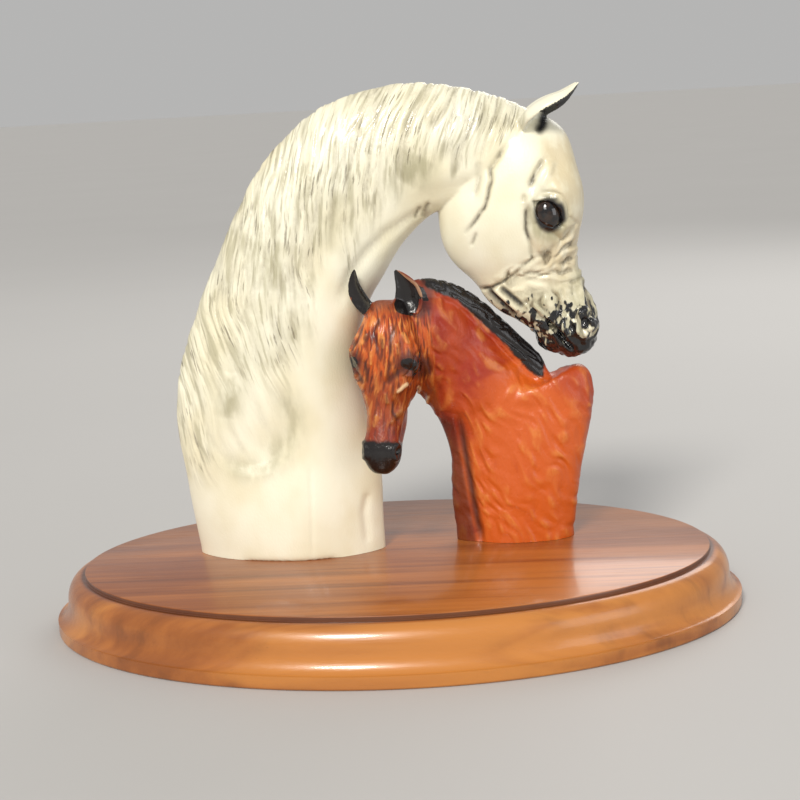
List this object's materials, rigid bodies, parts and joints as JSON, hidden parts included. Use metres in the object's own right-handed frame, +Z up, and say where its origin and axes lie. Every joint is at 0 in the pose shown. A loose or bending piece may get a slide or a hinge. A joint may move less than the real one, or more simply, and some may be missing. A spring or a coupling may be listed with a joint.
{
  "type": "horse trophy",
  "caption": "Mare's head and neck arched over a foal's head and neck, painted castings standing on an oval ogee-edged wooden base.",
  "frame": {"origin": "middle of the oval base's underside", "axes": "+Z up; +X along the base's long axis, from the mare's neck to the foal's neck; -Y is the front"},
  "size_m": [0.3048, 0.213, 0.232],
  "materials": {
    "wood": "warm brown hardwood under satin varnish",
    "grey_coat": "cream white paint with grey in the grooves, satin",
    "bay_coat": "red bay paint with black mane, ears, eyes and muzzle, satin gloss"
  },
  "bodies": {
    "root": {"oval_base": "wood", "mare_bust": "grey_coat", "foal_bust": "bay_coat"}
  },
  "joints": []
}
